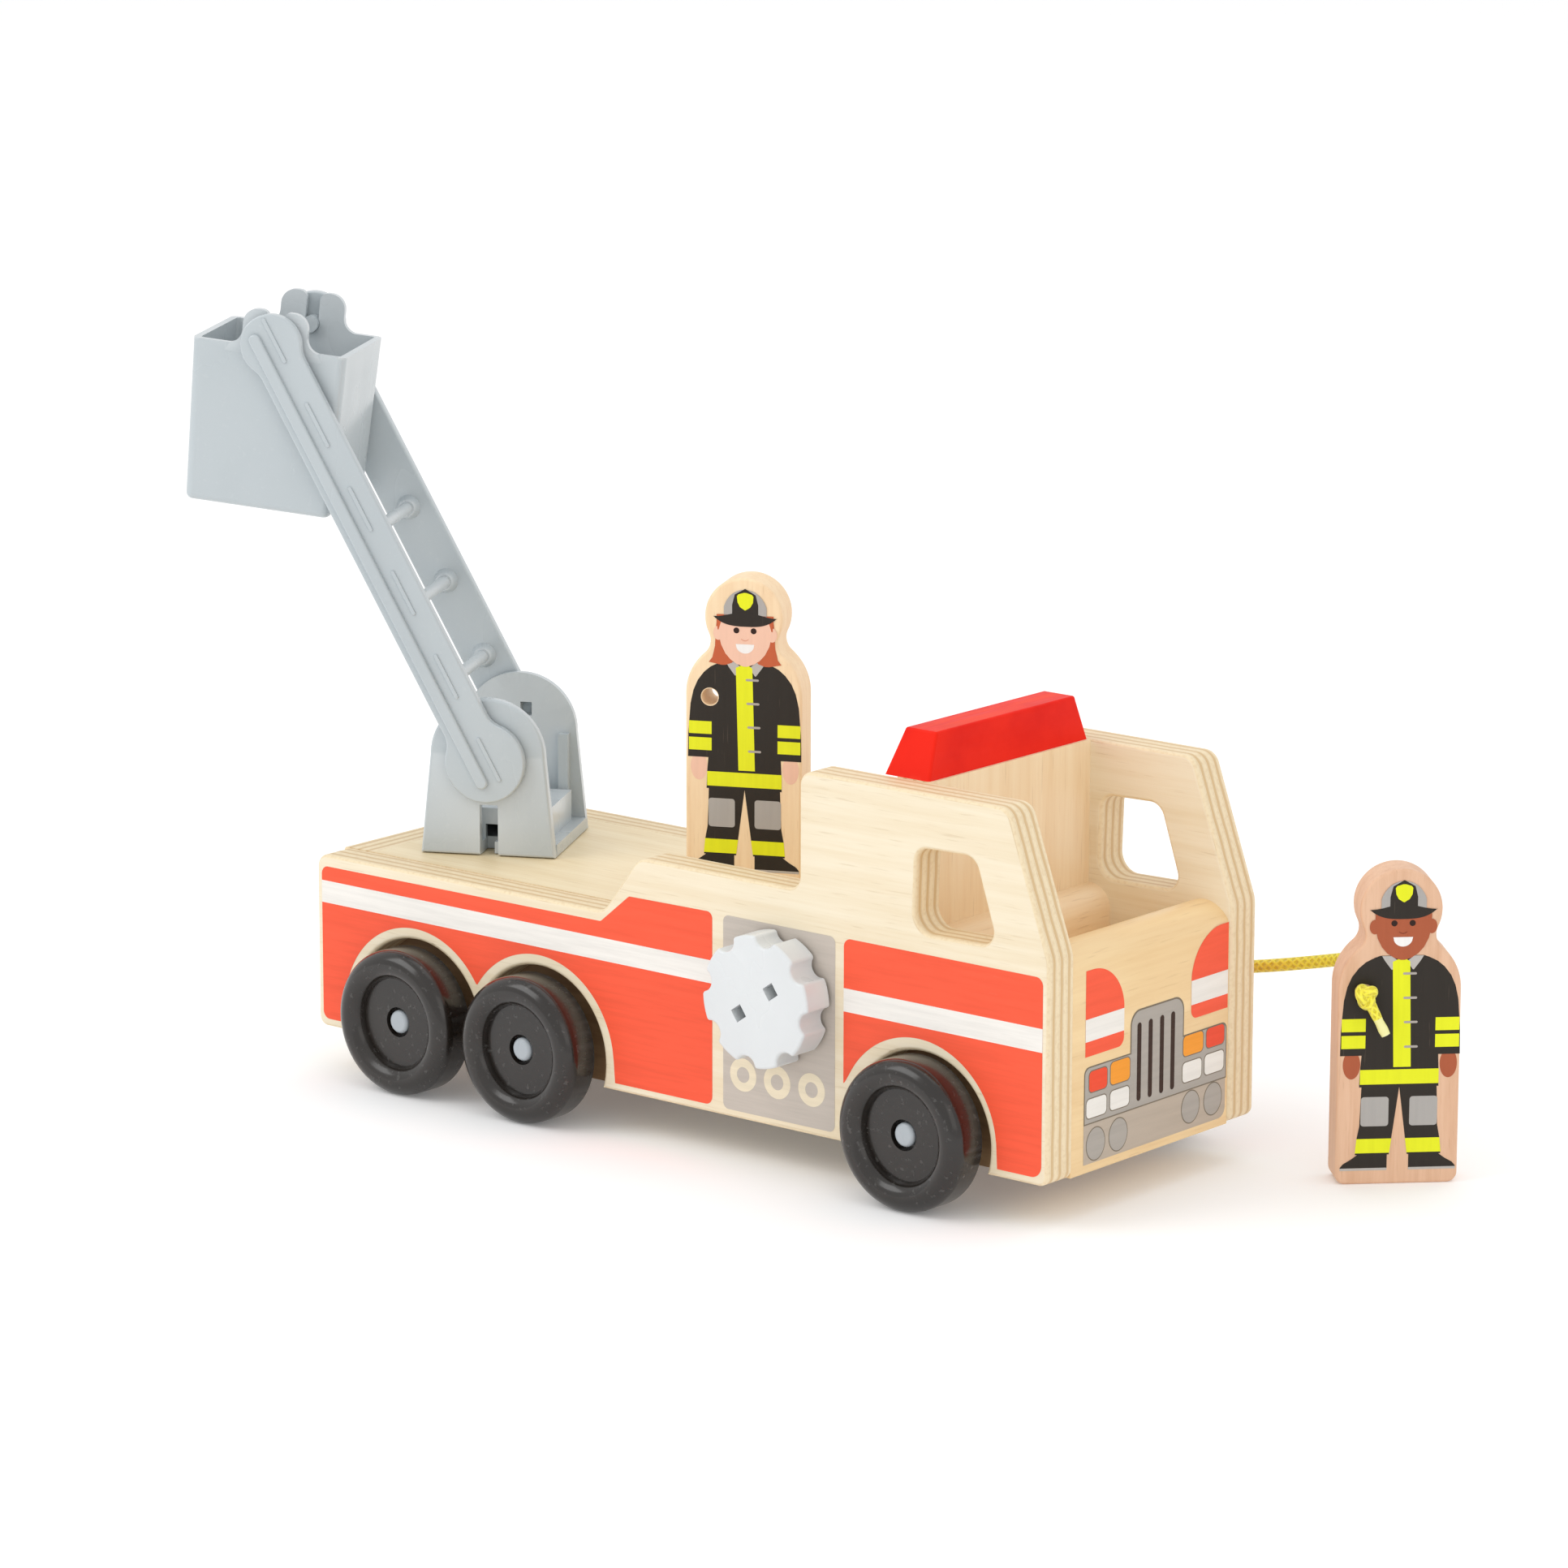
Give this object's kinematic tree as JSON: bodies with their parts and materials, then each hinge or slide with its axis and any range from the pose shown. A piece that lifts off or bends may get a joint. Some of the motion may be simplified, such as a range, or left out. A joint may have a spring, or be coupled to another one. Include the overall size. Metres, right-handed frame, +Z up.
{
  "type": "toy fire engine",
  "caption": "Wooden toy fire engine with a swivelling ladder and rescue bucket, rolling wheels, a hand winch for its hose, and flat crew figures.",
  "frame": {"origin": "middle of the footprint at floor level, measured without the hose", "axes": "+X towards the truck's front, +Y towards its left side, +Z up"},
  "size_m": [0.3938, 0.1435, 0.2297],
  "materials": {
    "plywood": "satin clear lacquer",
    "softwood": "bare",
    "red_paint": "satin paint",
    "figure_wood": "printed, satin",
    "grey_plastic": "satin",
    "white_plastic": "satin",
    "axle_plastic": "satin",
    "dark_plastic": "satin",
    "hose_cord": "braided",
    "steel": "zinc plated"
  },
  "bodies": {
    "truck": {"right_side_panel": "plywood", "left_side_panel": "plywood", "rear_board": "plywood", "bed_deck": "plywood", "rear_axle_block": "softwood", "front_axle_block": "softwood", "front_block": "plywood", "cab_back_wall": "plywood", "cab_seat": "plywood", "light_bar": "red_paint", "panel_dowels_right": "softwood", "panel_dowels_left": "softwood", "hose_eyelet": "white_plastic", "hose": "hose_cord", "hose_knot": "hose_cord", "hose_tip": "hose_cord", "hose_crew_figure": "figure_wood"},
    "rear_axle_set": {"axle_rear": "axle_plastic", "wheel_rear_right": "dark_plastic", "wheel_rear_left": "dark_plastic"},
    "middle_axle_set": {"axle_middle": "axle_plastic", "wheel_middle_right": "dark_plastic", "wheel_middle_left": "dark_plastic"},
    "front_axle_set": {"axle_front": "axle_plastic", "wheel_front_right": "dark_plastic", "wheel_front_left": "dark_plastic"},
    "winch": {"winch_knob": "white_plastic", "winch_shaft": "steel", "hose_spool": "white_plastic", "hose_winding": "hose_cord"},
    "turret": {"turret_base": "grey_plastic", "turret_washer": "steel", "turret_screw": "steel"},
    "ladder": {"ladder_rail_right": "grey_plastic", "ladder_rail_left": "grey_plastic", "ladder_rung_1": "grey_plastic", "ladder_rung_2": "grey_plastic", "ladder_rung_3": "grey_plastic"},
    "rescue_bucket": {"bucket": "grey_plastic"},
    "bay_crew": {"bay_crew_figure": "figure_wood"}
  },
  "joints": [
    {"name": "rear_axle_spin", "type": "hinge", "parent": "truck", "child": "rear_axle_set", "pos_m": [-0.098, -0.00688, 0.022], "axis": [0, 1, 0], "continuous": true},
    {"name": "middle_axle_spin", "type": "hinge", "parent": "truck", "child": "middle_axle_set", "pos_m": [-0.049, -0.00688, 0.022], "axis": [0, 1, 0], "continuous": true},
    {"name": "front_axle_spin", "type": "hinge", "parent": "truck", "child": "front_axle_set", "pos_m": [0.0943, -0.00688, 0.022], "axis": [0, 1, 0], "continuous": true},
    {"name": "winch_spin", "type": "hinge", "parent": "truck", "child": "winch", "pos_m": [0.0424, -0.00688, 0.0522], "axis": [0, 1, 0], "continuous": true},
    {"name": "turret_swivel", "type": "hinge", "parent": "truck", "child": "turret", "pos_m": [-0.1057, -0.00688, 0.0662], "axis": [0, 0, 1], "range_deg": [-137.5, 82.5]},
    {"name": "ladder_lift", "type": "hinge", "parent": "turret", "child": "ladder", "pos_m": [-0.1057, -0.00688, 0.0955], "axis": [-0.4617, 0.887, 0], "range_deg": [-52.5, 27.5]},
    {"name": "bucket_tilt", "type": "hinge", "parent": "ladder", "child": "rescue_bucket", "pos_m": [-0.16288, -0.03664, 0.21933], "axis": [-0.4617, 0.887, 0], "range_deg": [-75, 75]},
    {"name": "crew_lift", "type": "slide", "parent": "truck", "child": "bay_crew", "axis": [0, 0, 1], "range_m": [0, 0.12]}
  ]
}
